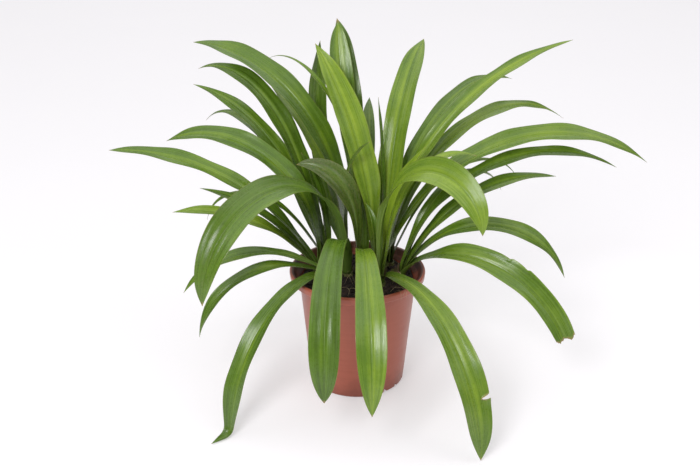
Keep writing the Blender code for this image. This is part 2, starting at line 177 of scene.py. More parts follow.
# The solids' own leaves: bulb, place outwards, heading, upright length at the neck, lean at the neck, lean at
# the tip, how late it bends, length, width, sideways sweep, roll, what only this leaf has.
# Lengths are in millimetres and angles in degrees. Only set_off isn't in the solids: it moves the finished
# blade off its neighbour by so many metres where both bend out of the neck.
Leaf = namedtuple("Leaf", "shoot place heading rise lean droop power length width sweep roll more")
LEAVES = {
    "leaf_01": ("left", 2, 178, 15, 28, 92, 1.00, 316, 27, 0, -18, {"blunt": 2.8}),
    "leaf_02": ("left", 1, 160, 25, -2, 117, 0.95, 312, 31, 0, -24, {"blunt": 2.8}),
    "leaf_03": ("back_left", 1, 152, 25, -1, 95, 1.15, 388, 35, 0, -20, {"blunt": 3.0}),
    "leaf_04": ("back_left", 2, 143, 20, 2, 64, 1.10, 252, 32, 0, -10, {}),
    "leaf_05": ("left_back", 2, 148, 25, 17, 116, 2.60, 340, 31, 0, -12, {"blunt": 2.8}),
    "leaf_06": ("left_back", 3, 155, 25, 20, 82, 1.60, 300, 24, 0, -18, {}),
    "leaf_07": ("left_back", 4, 143, 25, 31, 140, 3.00, 292, 20, 0, -10, {}),
    "leaf_08": ("middle_right", 4, 156, 30, 12, 120, 3.20, 342, 8, -20, 0, {}),
    "leaf_09": ("back_left", 3, 121, 25, 40, -18, 1.00, 290, 28, 0, 0, {}),
    "leaf_10": ("middle_right", 3, 150, 30, 5, 36, 1.30, 298, 35, 0, -35, {"blunt": 2.8}),
    "leaf_11": ("back", 1, 150, 30, 5, 28, 1.50, 308, 28, -60, 0, {"blunt": 6.0}),
    "leaf_12": ("back", 2, 110, 35, 9, 44, 2.40, 315, 25, 0, 0, {"blunt": 5.0}),
    "leaf_13": ("back", 3, 86, 20, 12, 75, 1.80, 230, 22, 0, 0, {}),
    "leaf_14": ("right_back", 2, 70, 30, 0, 74, 1.25, 320, 32, 0, 0, {"blunt": 3.4}),
    "leaf_15": ("right_back", 3, 21, 25, 5, 81, 0.88, 396, 23, 0, 15, {}),
    "leaf_16": ("right_back", 4, 50, 20, 6, 112, 0.98, 388, 23, 0, 15, {}),
    "leaf_17": ("right_back", 5, 36, 20, 12, 126, 1.00, 400, 21, 0, 20, {}),
    "leaf_18": ("middle_right", 2, 6, 20, 19, 128, 1.10, 425, 31, 0, 22, {}),
    "leaf_19": ("right", 1, 10, 15, 14, 121, 1.00, 355, 20, 0, 22, {}),
    "leaf_20": ("right", 3, 15, 12, 27, 102, 1.10, 250, 20, 0, 20, {}),
    "leaf_21": ("right", 2, 36, 10, 21, 158, 1.80, 240, 14, 0, 10, {}),
    "leaf_22": ("right_front", 3, 6, 20, 8, 114, 2.40, 226, 17, 0, 10, {}),
    "leaf_23": ("right_back", 6, 15, 20, 26, 158, 2.20, 248, 8, 0, 10, {}),
    "leaf_24": ("right_front", 1, -43, 25, -4, 178, 1.60, 308, 37, 0, 40, {"blunt": 3.4, "swell": 0.75}),
    "leaf_25": ("right", 4, 0, 10, 27, 160, 1.00, 262, 24, 0, 30, {}),
    "leaf_26": ("right", 5, -24, 10, 30, 156, 0.70, 262, 32, 0, 40, {"torn": True, "set_off": 0.0006}),
    "leaf_27": (
        *("right_front", 4, -57, 16, 61, 178, 0.75, 307, 37, 0, 10),
        {"nick": 0.76, "blunt": 3.6, "swell": 0.70},
    ),
    "leaf_28": ("middle_left", 2, 225, 25, 0, 180, 1.05, 378, 39, 0, -30, {"blunt": 3.2, "swell": 0.70}),
    "leaf_29": ("left", 4, 185, 10, 36, 97, 1.05, 205, 20, 0, -20, {}),
    "leaf_30": ("middle_right", 1, 18, 15, 4, 40, 1.20, 172, 26, 0, 0, {"blunt": 2.8}),
    "leaf_31": ("left_front", 2, 192, 16, 52, 146, 1.20, 209, 19, 0, -15, {}),
    "leaf_32": ("left_front", 3, 203, 16, 60, 171, 1.20, 215, 19, 0, -15, {}),
    "leaf_33": (
        *("left_front", 4, 227, 17, 68, 184, 0.66, 292, 26, 0, -10),
        {"kink": (0.91, -90, 0.08), "blunt": 2.6, "swell": 0.60, "set_off": 0.0018},
    ),
    "leaf_34": ("middle_left", 3, 259, 20, 0, 180, 0.62, 322, 36, 12, 0, {"blunt": 5.0, "swell": 0.80}),
    "leaf_35": ("front", 2, 274, 20, 4, 178, 0.62, 320, 36, -2, 0, {"blunt": 3.4, "swell": 0.80}),
    "leaf_36": ("front", 1, 170, 25, 0, 104, 2.20, 190, 34, 0, -30, {"blunt": 3.0, "swell": 0.70}),
    "leaf_37": ("left_back", 1, 150, 20, 0, 36, 1.20, 150, 18, 0, 0, {}),
    "leaf_38": ("middle_left", 1, -27, 25, -5, 58, 3.00, 188, 11, 0, 45, {}),
    "leaf_39": ("right_back", 1, 150, 25, 0, 6, 1.20, 218, 9, 0, 0, {}),
    "leaf_40": ("right_front", 2, 124, 25, 0, 68, 2.50, 104, 9, 0, 0, {}),
    "leaf_41": ("left", 3, 170, 12, 34, 82, 1.00, 186, 16, 0, -15, {}),
    "leaf_42": ("left_back", 5, 174, 20, 33, 172, 2.00, 212, 11, 0, -10, {}),
}
LEAVES = {name: Leaf(*row) for name, row in LEAVES.items()}

# How light each leaf is (0 deep green, 1 yellow-green), the length of its dry tip in millimetres, how
# strongly it is pleated lengthwise, and for some how dull and olive the whole blade is. A leaf that isn't
# named here has USUAL_LOOK.
Look = namedtuple("Look", "light dry_tip pleats dull", defaults=(0.0,))
USUAL_LOOK = (0.36, 3.0, 0.7)
LEAF_LOOKS = {
    "leaf_01": (0.38, 3.0, 0.8),
    "leaf_03": (0.34, 3.0, 0.9),
    "leaf_04": (0.52, 3.0, 0.8),
    "leaf_05": (0.32, 7.0, 0.8),
    "leaf_07": (0.30, 9.0, 0.6),
    "leaf_10": (0.58, 3.0, 1.2),
    "leaf_11": (0.40, 2.0, 0.9),
    "leaf_12": (0.26, 8.0, 0.6),
    "leaf_14": (0.50, 3.0, 0.9),
    "leaf_15": (0.46, 3.0, 0.8),
    "leaf_17": (0.42, 9.0, 0.6, 0.03),
    "leaf_18": (0.46, 4.0, 1.4, 0.03),
    "leaf_22": (0.52, 8.0, 0.6),
    "leaf_24": (0.54, 3.0, 1.2),
    "leaf_26": (0.40, 3.0, 1.2),
    "leaf_27": (0.42, 5.0, 0.9, 0.03),
    "leaf_28": (0.32, 6.0, 1.5, 0.04),
    "leaf_29": (0.54, 3.0, 0.5),
    "leaf_30": (0.62, 2.0, 0.5),
    "leaf_33": (0.32, 2.0, 0.8),
    "leaf_34": (0.26, 4.0, 1.3),
    "leaf_35": (0.44, 4.0, 1.2),
    "leaf_36": (0.14, 3.0, 2.2, 0.09),
    "leaf_37": (0.22, 3.0, 0.6),
    "leaf_38": (0.12, 3.0, 0.6, 0.08),
    "leaf_39": (0.18, 3.0, 0.4),
    "leaf_40": (0.20, 3.0, 0.4),
}


# Shapes that several pieces share

# The most of a side, as a share of it, that a rounded corner may take
MOST_CUT = 0.45


def ease(x):
    """A smooth step: nought below 0, one above 1, three x squared less two x cubed between."""
    x = np.clip(x, 0.0, 1.0)
    return x * x * (3.0 - 2.0 * x)


def bell(x):
    """A soft hump: one at 0, and e to the power of minus x squared beside it."""
    return np.exp(-(x**2))


def lattice(ix, iy, iz, seed):
    """A fixed value between -1 and 1 for each whole-number point, mixed from its three numbers."""
    h = (ix * 73856093) ^ (iy * 19349663) ^ (iz * 83492791) ^ np.int64(seed * 7919 + 17)
    h = (h ^ (h >> 13)) * 1274126177 & 0xFFFFFFFF
    h = (h ^ (h >> 15)) * 2246822519 & 0xFFFFFFFF
    return ((h >> 8) & 0xFFFF) / 32767.5 - 1.0


def soft_noise(x, y, z, seed=0):
    """Value noise: the lattice's values, eased from each corner of a unit cell to the next."""
    x, y, z = np.broadcast_arrays(x, y, z)
    bx, by, bz = (np.floor(v).astype(np.int64) for v in (x, y, z))
    wx, wy, wz = ease(x - bx), ease(y - by), ease(z - bz)
    total = 0.0
    for dx in (0, 1):
        for dy in (0, 1):
            for dz in (0, 1):
                weight = np.where(dx, wx, 1 - wx) * np.where(dy, wy, 1 - wy) * np.where(dz, wz, 1 - wz)
                total = total + weight * lattice(bx + dx, by + dy, bz + dz, seed)
    return total


def layered_noise(x, y, z, layers, seed=0):
    """Soft noise at several sizes: each layer is twice as fine and half as strong."""
    total = 0.0
    for layer in range(layers):
        scale = 2.0**layer
        total = total + soft_noise(x * scale, y * scale, z * scale, seed + layer * 31) / scale
    return total


def grid_faces(grid, wrap=False):
    """Quads between neighbouring rows and columns of a grid of point numbers."""
    if wrap:
        grid = np.concatenate([grid, grid[:, :1]], 1)
    a, b = grid[:-1, :-1], grid[:-1, 1:]
    c, d = grid[1:, 1:], grid[1:, :-1]
    return np.stack([a, b, c, d], -1).reshape(-1, 4)


def mesh_piece(name, points, quads, triangles=(), sharp=None):
    """A smooth-shaded object at the origin from whole arrays of points, quads and triangles."""
    mesh = bpy.data.meshes.new(name)
    quads = np.asarray(quads, np.int32).reshape(-1, 4)
    triangles = np.asarray(triangles, np.int32).reshape(-1, 3)
    corners = np.concatenate([quads.reshape(-1), triangles.reshape(-1)])
    sizes = np.concatenate([np.full(len(quads), 4), np.full(len(triangles), 3)])
    mesh.vertices.add(len(points))
    mesh.vertices.foreach_set("co", np.asarray(points, np.float32).reshape(-1))
    mesh.loops.add(len(corners))
    mesh.loops.foreach_set("vertex_index", corners.astype(np.int32))
    mesh.polygons.add(len(sizes))
    starts = np.concatenate([[0], np.cumsum(sizes)[:-1]])
    mesh.polygons.foreach_set("loop_start", starts.astype(np.int32))
    mesh.update(calc_edges=True)
    mesh.validate()
    mesh.polygons.foreach_set("use_smooth", np.ones(len(sizes), bool))
    if sharp:
        mesh.set_sharp_from_angle(angle=math.radians(sharp))
    made = bpy.data.objects.new(name, mesh)
    bpy.context.scene.collection.objects.link(made)
    return made


def paint(obj, name, kind, values):
    """Stores one vector or colour for each point of the mesh."""
    made = obj.data.attributes.new(name, kind, "POINT")
    key = {"FLOAT_VECTOR": "vector", "FLOAT_COLOR": "color"}[kind]
    made.data.foreach_set(key, np.asarray(values, np.float32).reshape(-1))


def finish_piece(obj, material, slot, *nodes):
    """Gives the piece its material, and names the nodes of the solids that it replaces; the slot is not used.
    """
    obj.data.materials.append(material)
    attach(obj, "root")
    if nodes:
        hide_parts(*nodes)


def turned_grid(profile, steps):
    """Points of a profile of (radius, height) carried round Z: radius times cosine and sine of the turn."""
    turn = np.linspace(0.0, math.tau, steps, endpoint=False)
    radius, height = profile[:, 0][:, None], profile[:, 1][:, None]
    return np.stack(np.broadcast_arrays(radius * np.cos(turn), radius * np.sin(turn), height), -1), turn


def turned_piece(name, points, sharp):
    """A closed mesh of a turned grid whose first and last rows lie on the axis: each closes in a fan."""
    rows, steps = points.shape[:2]
    grid = np.arange(rows * steps).reshape(rows, steps)
    low = np.stack([np.full(steps, grid[0, 0]), np.roll(grid[1], -1), grid[1]], -1)
    high = np.stack([np.full(steps, grid[-1, 0]), grid[-2], np.roll(grid[-2], -1)], -1)
    faces = grid_faces(grid[1:-1], wrap=True)
    return mesh_piece(name, points.reshape(-1, 3), faces, np.concatenate([low, high]), sharp)


def smooth_profile(points, spacing):
    """The polyline through the points, sampled evenly at about that spacing, with its own corners kept."""
    points = np.asarray(points, float)
    pieces = []
    for a, b in zip(points[:-1], points[1:]):
        count = max(1, int(round(float(np.hypot(*(b - a))) / spacing)))
        pieces.append(a + (b - a) * np.linspace(0.0, 1.0, count, endpoint=False)[:, None])
    return np.concatenate(pieces + [points[-1:]])


def rounded(points, radius, steps):
    """Each inner corner of the polyline replaced by a quadratic curve between points set back from it."""
    points = np.asarray(points, float)
    made = [points[:1]]
    for before, corner, after in zip(points[:-2], points[1:-1], points[2:]):
        lengths = [np.hypot(*(end - corner)) for end in (before, after)]
        back = min(radius, MOST_CUT * lengths[0], MOST_CUT * lengths[1])
        a = corner + (before - corner) / lengths[0] * back
        b = corner + (after - corner) / lengths[1] * back
        u = np.linspace(0.0, 1.0, steps)[:, None]
        made.append((1 - u) ** 2 * a + 2 * u * (1 - u) * corner + u**2 * b)
    return np.concatenate(made + [points[-1:]])


def tube(path, radius, sides):
    """A round tube: at each point of the path, a circle of the given radius square to the path."""
    path = np.asarray(path, float)
    along = np.gradient(path, axis=0)
    along /= np.linalg.norm(along, axis=1)[:, None]
    ref = np.where(np.abs(along[:, 2:3]) < 0.9, [[0.0, 0.0, 1.0]], [[1.0, 0.0, 0.0]])
    one = np.cross(along, ref)
    one /= np.linalg.norm(one, axis=1)[:, None]
    two = np.cross(along, one)
    turn = np.linspace(0.0, math.tau, sides, endpoint=False)
    radius = np.broadcast_to(radius, len(path))[:, None, None]
    ring = one[:, None] * np.cos(turn)[None, :, None] + two[:, None] * np.sin(turn)[None, :, None]
    points = (path[:, None] + ring * radius).reshape(-1, 3)
    grid = np.arange(len(points)).reshape(len(path), sides)
    first, last = np.full(sides, len(points)), np.full(sides, len(points) + 1)
    start = np.stack([first, np.roll(grid[0], -1), grid[0]], -1)
    end = np.stack([last, grid[-1], np.roll(grid[-1], -1)], -1)
    points = np.concatenate([points, [path[0], path[-1]]])
    return points, grid_faces(grid, wrap=True), np.concatenate([start, end])


def spline(ends, steps):
    """A smooth curve through a few given points: a Catmull-Rom spline through each in turn."""
    ends = np.asarray(ends, float)
    padded = np.concatenate([2 * ends[:1] - ends[1:2], ends, 2 * ends[-1:] - ends[-2:-1]])
    u = np.linspace(0.0, len(ends) - 1, steps)
    k = np.minimum(u.astype(int), len(ends) - 2)
    f = (u - k)[:, None]
    p0, p1, p2, p3 = (padded[k + i] for i in range(4))
    square = 2 * p0 - 5 * p1 + 4 * p2 - p3
    cube = 3 * p1 - p0 - 3 * p2 + p3
    return 0.5 * (2 * p1 + (p2 - p0) * f + square * f**2 + cube * f**3)


# Surface of a leaf


def base_radius(place):
    """Radius of the ring that a leaf's base stands in: the core's, and a step for each place outwards."""
    return CORE_RADIUS + place * LEAF_STEP


def leaf_frame(leaf, t):
    """Centreline, along, side and upper normal at the stations t.

    The lean from upright is eased in over the neck, then grows as a power of the run to the tip. Lean and
    heading give the direction of the centreline, which is summed along its length. The side is level and
    square to the heading, and the roll turns side and normal together about the centreline.
    """
    shoot, place, heading, rise, lean, droop, power, length, _, sweep, roll, more = leaf
    fine = np.linspace(0.0, 1.0, LINE_STEPS + 1)
    run = np.clip((fine * length - rise) / (length - rise), 0.0, 1.0)
    tilt = lean * ease(fine * length / rise) + (droop - lean) * run**power
    if "kink" in more:
        at, by, wide = more["kink"]
        tilt = tilt + by * ease((fine - at) / wide + 0.5)
    tilt = np.radians(tilt)
    turn = np.radians(heading + sweep * fine**1.5)
    along = np.stack([np.sin(tilt) * np.cos(turn), np.sin(tilt) * np.sin(turn), np.cos(tilt)], 1)
    moved = np.cumsum(0.5 * (along[1:] + along[:-1]), 0) * length / LINE_STEPS / 1000.0
    start = math.radians(heading)
    radius = base_radius(place)
    x, y = SHOOTS[shoot][0] / 1000, SHOOTS[shoot][1] / 1000
    foot = [x + radius * math.cos(start), y + radius * math.sin(start), BASE_HEIGHT]
    line = np.concatenate([np.zeros((1, 3)), moved]) + foot
    side = np.stack([-np.sin(turn), np.cos(turn), np.zeros_like(turn)], 1)
    up = np.cross(along, side)
    rolled = np.radians(roll) * ease((fine - 0.12) / 0.5)[:, None]
    side, up = side * np.cos(rolled) + up * np.sin(rolled), up * np.cos(rolled) - side * np.sin(rolled)
    found = [np.stack([np.interp(t, fine, v[:, i]) for i in range(3)], 1) for v in (line, along, side, up)]
    return [found[0]] + [v / np.linalg.norm(v, axis=1)[:, None] for v in found[1:]]


def leaf_width(leaf, t):
    """Narrow where it sheathes the neck, swelling to its full width, drawn to a point or torn off."""
    width, more = leaf.width, leaf.more
    foot = min(FOOT_SHARE * width, FOOT_WRAP * 1000 * base_radius(leaf.place))
    full = foot + (width - foot) * ease(t / more.get("swell", SWELL))
    if "torn" in more:
        return full * (1.0 - 0.12 * ease((t - 0.6) / 0.4)) / 1000
    tip = 1.0 - np.clip((t - TIP_START) / (1.0 - TIP_START), 0.0, 1.0) ** more.get("blunt", TIP_POWER)
    return np.maximum(full * tip, NARROWEST_MM) / 1000


def leaf_middle(leaf, phase, t, x, pleat):
    """The leaf's middle surface at stations t along it and shares x of its half width.

    Across the leaf the points lie on an arc: tight round the neck at the base, a shallow channel in the
    blade, folded up on both sides of the midrib. The margins rise and fall in slow waves, low pleats run
    lengthwise, a groove follows the midrib, and a soft noise keeps the blade from being even. A torn leaf
    ends in an uneven edge and loses two steps from one margin. A nick draws one margin in, with a small flap
    beyond it.
    """
    more = leaf.more
    line, along, side, up = (v[:, None, :] for v in leaf_frame(leaf, t))
    width = leaf_width(leaf, t)[:, None]
    t, x = t[:, None], x[None, :]
    length, broad = leaf.length / 1000, leaf.width / 1000
    opened = ease(t / (SHEATH_LENGTH / length))
    bend = (1.0 - opened) / base_radius(leaf.place) + opened * 2 * CHANNEL / broad
    s = x * width / 2
    out = np.sin(s * bend) / bend
    lift = (1.0 - np.cos(s * bend)) / bend
    blade = ease((t - 0.10) / 0.25)
    share = width / broad
    lift = lift + FOLD * blade * (np.sqrt(s**2 + FOLD_ROUND**2) - FOLD_ROUND)
    edge = np.abs(x) ** 2
    wave = np.sin(math.tau * (t * length / WAVE_LENGTH) + phase + 1.3 * np.clip(x / 0.3, -1.0, 1.0))
    lift = lift + WAVE_HEIGHT * edge * wave * blade * np.minimum(1.0, width / 0.02)
    small = soft_noise(t * length / UNEVEN_LENGTH, x * 1.3, phase, 5)
    lift = lift + UNEVEN_HEIGHT * small * blade * (0.4 + 0.6 * edge) * share
    ribs = np.cos(math.pi * x * broad / PLEAT_PITCH + 0.6 * soft_noise(t * 5, x, phase, 3))
    lift = lift - PLEAT_HEIGHT * pleat * ribs * blade * share * (1.0 - np.abs(x) ** 6)
    lift = lift - GROOVE_DEPTH * blade * share * bell(s / GROOVE_HALF)
    lift = lift - more.get("set_off", 0.0) * bell((t - SET_OFF_PLACE) / SET_OFF_SPREAD)
    points = line + side * out[:, :, None] + up * lift[:, :, None]
    if "torn" in more:
        ragged = np.interp(x, [-1.0, -0.52, 0.0, 0.52, 1.0], [-0.007, -0.001, -0.004, 0.002, -0.003])
        ragged = ragged + 0.0012 * soft_noise(x * 9, 0.0, 0.0, 11)
        points = points + along * ragged[:, :, None] * ease((t - 0.95) / 0.05)[:, :, None]
        for step in TORN_STEPS:
            gone = np.exp(np.minimum(t - step, 0.0) / TORN_REACH) * (1.0 - ease((t - step) / TORN_RISE + 0.6))
            points = points - TORN_DEPTH * side * gone[:, :, None] * ease((x - 0.5) / 0.5)[:, :, None]
    if "nick" in more:
        near = bell((t - more["nick"]) / NICK_HALF) * ease((x - 0.45) / 0.55)
        points = points - side * near[:, :, None] * (NICK_DEPTH * width)[:, :, None]
        flap = bell((t - more["nick"] - FLAP_BEYOND) / FLAP_HALF) * ease((x - 0.6) / 0.4)
        points = points + (FLAP_LIFT * up - FLAP_BACK * along) * flap[:, :, None]
    return points


def leaf_piece(name, leaf, number, settings):
    """A thin closed blade: the middle surface moved half its thickness each way along its own normal.

    The thickness is greatest at the midrib, which stands out below as a keel, and fine at the margins.
    """
    look = Look(*LEAF_LOOKS.get(name, USUAL_LOOK))
    more, length = leaf.more, leaf.length / 1000
    to_tip = np.linspace(1.0, 0.0, int(round(length / settings.row_spacing)) + 1)
    t = 1.0 - to_tip**ROWS_CROWDED
    closer = [t]
    if "nick" in more:
        closer.append(more["nick"] + np.linspace(-0.02, 0.02, 17))
    if "kink" in more:
        closer.append(more["kink"][0] + np.linspace(-0.06, 0.06, 13))
    if "torn" in more:
        closer += [step + np.linspace(-0.014, 0.010, 13) for step in TORN_STEPS]
    t = np.unique(np.concatenate(closer))
    t = t[np.concatenate([[True], np.diff(t[:-1]) > CLOSEST_ROWS, [True]])]
    columns = settings.columns if leaf.width > BROAD_MM else settings.columns // 2 + 1
    v = np.linspace(-1.0, 1.0, columns)
    x = v - COLUMNS_CROWDED * np.sin(math.tau * v)
    middle = leaf_middle(leaf, number * PHASE_STEP, t, x, look.pleats)
    down, across = np.gradient(middle, axis=0), np.gradient(middle, axis=1)
    normal = np.cross(down, across)
    normal /= np.maximum(np.linalg.norm(normal, axis=2), 1e-12)[:, :, None]
    share = (leaf_width(leaf, t) * 1000 / leaf.width)[:, None]
    blade = settings.thickness * (0.30 + 0.70 * (1.0 - np.abs(x) ** 3))
    foot = 1.0 - ease(t / 0.35)[:, None]
    keel = (KEEL_HEIGHT + KEEL_AT_FOOT * foot) * bell(x / KEEL_HALF) * share
    keel = keel * ease((t * length - KEEL_START) / KEEL_START)[:, None]
    thick = blade * (0.5 + 0.5 * np.minimum(1.0, share * 3))
    upper = middle + normal * (thick / 2)[:, :, None]
    lower = middle - normal * (thick / 2 + keel)[:, :, None]
    count = len(t) * columns
    top = np.arange(count).reshape(len(t), columns)
    bottom = top + count
    faces = [
        grid_faces(top)[:, ::-1],
        grid_faces(bottom),
        grid_faces(np.stack([top[:, 0], bottom[:, 0]], 1)),
        grid_faces(np.stack([bottom[:, -1], top[:, -1]], 1)),
        grid_faces(np.stack([bottom[0], top[0]], 0))[:, ::-1],
        grid_faces(np.stack([top[-1], bottom[-1]], 0))[:, ::-1],
    ]
    points = np.concatenate([upper.reshape(-1, 3), lower.reshape(-1, 3)])
    made = mesh_piece(name + "_blade", points, np.concatenate(faces))
    paint_leaf(made, leaf, number, t, x, look)
    return made


def paint_leaf(made, leaf, number, t, x, look):
    """Place on the leaf (across and along in metres, share of the half width), and its tones: lightness,
    dryness (at the tip, torn edge and nick, and over a dull blade), nearness to the foot for the painted
    shade there, one underneath."""
    more = leaf.more
    length, broad = leaf.length / 1000, leaf.width / 1000
    t, x = np.meshgrid(t, x, indexing="ij")
    place = np.stack([x * broad / 2, t * length + TEXTURE_STEP * number, np.abs(x)], -1)
    strength, pitch = (0.3, 9) if "torn" in more else (0.25, 4)
    broken = strength * soft_noise(x * pitch, t * 40, number, 2)
    dry = 1.0 - ease((1.0 - t) * length / (look.dry_tip / 1000) + broken)
    dry = np.maximum(dry, look.dull)
    if "nick" in more:
        dry = np.maximum(dry, bell((t - more["nick"]) / NICK_DRY) * ease((x - 0.55) / 0.45))
    light = look.light + 0.06 * soft_noise(t * 5, x, number, 9)
    tone = np.stack([light, dry, 1.0 - ease(t * length / FOOT_SHADE_REACH)], -1)
    under = np.repeat([0.0, 1.0], t.size)[:, None]
    tones = np.concatenate([tone.reshape(-1, 3)] * 2)
    paint(made, "leaf_place", "FLOAT_VECTOR", np.concatenate([place.reshape(-1, 3)] * 2))
    paint(made, "leaf_tone", "FLOAT_COLOR", np.concatenate([tones, under], 1))


# Materials


def feed(tree, node, values):
    """Links each value that is a socket to its input of the node, and sets the others."""
    for key, value in values.items():
        socket = node.inputs[key]
        if isinstance(value, bpy.types.NodeSocket):
            tree.links.new(value, socket)
        elif socket.type == "RGBA":
            socket.default_value = (*value, 1.0)[:4]
        else:
            socket.default_value = value


def place(tree, kind, values=None, **settings):
    """A new node with its settings, its inputs fed from the values."""
    made = tree.nodes.new(kind)
    for name, value in settings.items():
        setattr(made, name, value)
    feed(tree, made, values or {})
    return made


def calc(tree, operation, a, b=0.0, c=0.0, clamp=False):
    return place(tree, "ShaderNodeMath", {0: a, 1: b, 2: c}, operation=operation, use_clamp=clamp).outputs[0]


def summed(tree, base, *terms):
    """The base plus each of the terms, which are given as (value, weight)."""
    for value, weight in terms:
        base = calc(tree, "MULTIPLY_ADD", value, weight, base)
    return base


def mixed(tree, factor, a, b):
    values = {0: factor, 6: a, 7: b}
    return place(tree, "ShaderNodeMix", values, data_type="RGBA", clamp_factor=True).outputs[2]


def ranged(tree, value, low, high, to_low=0.0, to_high=1.0, smooth=False):
    kind = "SMOOTHSTEP" if smooth else "LINEAR"
    values = {"Value": value, "From Min": low, "From Max": high, "To Min": to_low, "To Max": to_high}
    return place(tree, "ShaderNodeMapRange", values, interpolation_type=kind, clamp=True).outputs[0]


def stretched(tree, vector, scale):
    return place(tree, "ShaderNodeMapping", {"Vector": vector, "Scale": scale}).outputs[0]


def noise(tree, vector, scale, detail=2.0, roughness=0.5):
    values = {"Vector": vector, "Scale": scale, "Detail": detail, "Roughness": roughness}
    return place(tree, "ShaderNodeTexNoise", values).outputs[0]


def new_group(name, inputs, outputs):
    """An empty shader node group with named sockets, given as (name, kind, default)."""
    tree = bpy.data.node_groups.new(name, "ShaderNodeTree")
    for label, kind, default in inputs:
        socket = tree.interface.new_socket(name=label, in_out="INPUT", socket_type="NodeSocket" + kind)
        if default is not None:
            socket.default_value = default
    for label, kind in outputs:
        tree.interface.new_socket(name=label, in_out="OUTPUT", socket_type="NodeSocket" + kind)
    return tree, place(tree, "NodeGroupInput").outputs, place(tree, "NodeGroupOutput")


def patchy_group():
    """Noise cut to a soft mask between two levels, and the same noise finer, for tone and for roughness."""
    sockets = [
        ("Vector", "Vector", None),
        ("Scale", "Float", 20.0),
        ("Low", "Float", 0.4),
        ("High", "Float", 0.6),
    ]
    tree, given, out = new_group("Patchy tone", sockets, [("Mask", "Float"), ("Fine", "Float")])
    broad = noise(tree, given["Vector"], given["Scale"], 4.0, 0.55)
    fine = noise(tree, given["Vector"], calc(tree, "MULTIPLY", given["Scale"], 6.0), 3.0, 0.6)
    feed(tree, out, {"Mask": ranged(tree, broad, given["Low"], given["High"], smooth=True), "Fine": fine})


def tinted_group():
    """A colour taken towards a tint where the mask is, broken up by noise so that its edge isn't clean."""
    sockets = [
        ("Colour", "Color", None),
        ("Tint", "Color", None),
        ("Mask", "Float", 0.0),
        ("Vector", "Vector", None),
        ("Scale", "Float", 200.0),
        ("Break up", "Float", 0.4),
    ]
    tree, given, out = new_group("Broken tint", sockets, [("Colour", "Color"), ("Mask", "Float")])
    grain = calc(tree, "SUBTRACT", noise(tree, given["Vector"], given["Scale"], 3.0), 0.5)
    grain = calc(tree, "MULTIPLY", grain, given["Break up"])
    mask = calc(tree, "ADD", given["Mask"], calc(tree, "MULTIPLY", grain, 2.0), clamp=True)
    mask = calc(tree, "MULTIPLY", mask, ranged(tree, given["Mask"], 0.0, 0.12))
    feed(tree, out, {"Colour": mixed(tree, mask, given["Colour"], given["Tint"]), "Mask": mask})


def use_group(tree, name, values):
    return place(tree, "ShaderNodeGroup", values, node_tree=bpy.data.node_groups[name]).outputs


def patches(tree, vector, scale, low, high):
    return use_group(tree, "Patchy tone", {"Vector": vector, "Scale": scale, "Low": low, "High": high})


def new_material(name):
    """A material with its tree, its shader and a socket that gives the place in metres."""
    made = bpy.data.materials.new(name)
    made.use_nodes = True
    tree = made.node_tree
    return made, tree, tree.nodes["Principled BSDF"], place(tree, "ShaderNodeTexCoord").outputs["Object"]


def surface(tree, shader, colour, rough, height, strength, distance):
    """Feeds the shader its colour, its roughness and a bumped normal."""
    values = {"Height": height, "Strength": strength, "Distance": distance}
    normal = place(tree, "ShaderNodeBump", values).outputs[0]
    feed(tree, shader, {"Base Color": colour, "Roughness": rough, "Normal": normal})


